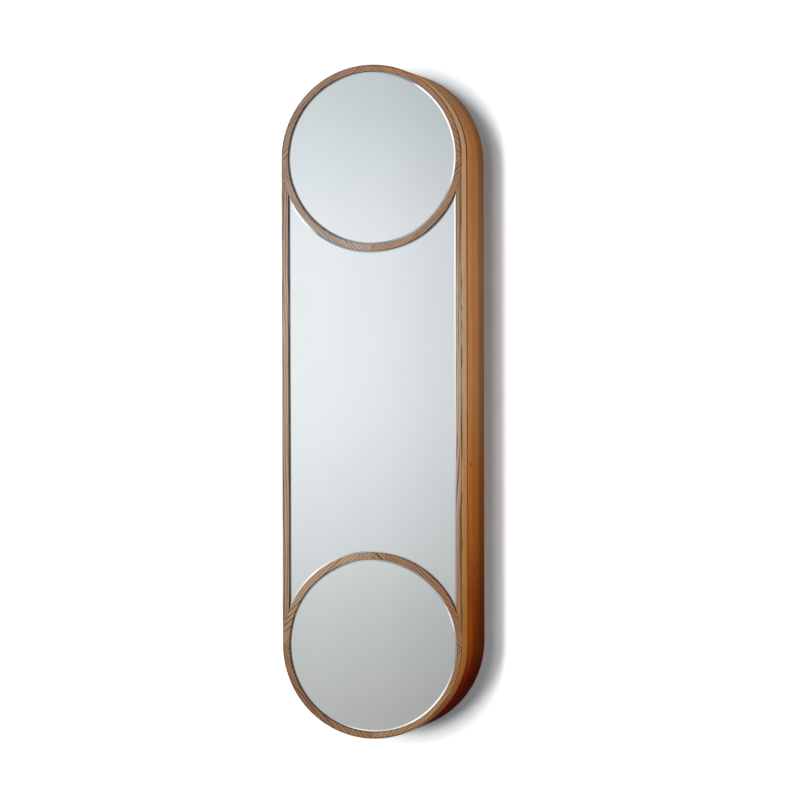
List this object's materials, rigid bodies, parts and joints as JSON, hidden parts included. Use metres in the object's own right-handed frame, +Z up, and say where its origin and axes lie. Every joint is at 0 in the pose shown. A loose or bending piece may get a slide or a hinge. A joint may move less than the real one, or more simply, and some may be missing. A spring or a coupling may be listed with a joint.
{
  "type": "wall mirror cabinet",
  "caption": "Tall capsule-shaped wall cabinet whose thick hinged door carries round and straight bevelled mirrors in a wooden ring frame.",
  "frame": {"origin": "middle of the wall cleat's back face, on the wall", "axes": "+Z up, +Y into the wall, +X to the right seen from the front; the door's front looks along -Y"},
  "size_m": [0.4065, 0.211, 1.4492],
  "materials": {
    "front_wood": "oiled oak-like wood with dark grain lines, matt, greyish tan",
    "edge_wood": "straight-grained edge strip, satin, honey tan",
    "case_wood": "vertical-grained veneer, satin, orange brown",
    "inside_wood": "plain veneer, matt",
    "core_board": "unfinished board",
    "mirror": "silvered glass, polished, with a bevelled edge",
    "brass": "brushed, lightly toned",
    "steel": "plated, satin",
    "rubber": "matt black"
  },
  "bodies": {
    "case": {"back_panel": "inside_wood", "bumper_bottom": "rubber", "bumper_top": "rubber", "case_bottom_arch": "case_wood", "case_left_side": "case_wood", "case_right_side": "case_wood", "case_top_arch": "case_wood", "fixed_shelf_1": "inside_wood", "fixed_shelf_2": "inside_wood", "fixed_shelf_3": "inside_wood", "fixed_shelf_4": "inside_wood", "hanging_rail": "core_board", "hinge_leaf_case_1": "brass", "hinge_leaf_case_2": "brass", "hinge_leaf_case_3": "brass", "hinge_pin_1": "brass", "hinge_pin_2": "brass", "hinge_pin_3": "brass", "hinge_screw_case_1a": "brass", "hinge_screw_case_1b": "brass", "hinge_screw_case_2a": "brass", "hinge_screw_case_2b": "brass", "hinge_screw_case_3a": "brass", "hinge_screw_case_3b": "brass", "loose_shelf": "inside_wood", "magnet_catch_lower": "steel", "magnet_catch_upper": "steel", "shelf_pin_1": "steel", "shelf_pin_2": "steel", "shelf_pin_3": "steel", "shelf_pin_4": "steel", "wall_cleat": "core_board"},
    "door": {"door_core": "core_board", "door_edge_band": "edge_wood", "door_inner_panel": "inside_wood", "hinge_leaf_door_1": "brass", "hinge_leaf_door_2": "brass", "hinge_leaf_door_3": "brass", "hinge_screw_door_1a": "brass", "hinge_screw_door_1b": "brass", "hinge_screw_door_2a": "brass", "hinge_screw_door_2b": "brass", "hinge_screw_door_3a": "brass", "hinge_screw_door_3b": "brass", "mirror_bottom": "mirror", "mirror_middle": "mirror", "mirror_top": "mirror", "ring_bottom_lower_left": "front_wood", "ring_bottom_lower_right": "front_wood", "ring_bottom_upper_left": "front_wood", "ring_bottom_upper_right": "front_wood", "ring_top_lower_left": "front_wood", "ring_top_lower_right": "front_wood", "ring_top_upper_left": "front_wood", "ring_top_upper_right": "front_wood", "stile_left": "front_wood", "stile_right": "front_wood", "strike_plate_lower": "steel", "strike_plate_upper": "steel"}
  },
  "joints": [
    {"name": "door_hinge", "type": "hinge", "parent": "case", "child": "door", "pos_m": [-0.2035, -0.165, -0.4], "axis": [0, 0, -1], "range_deg": [0, 180]}
  ]
}
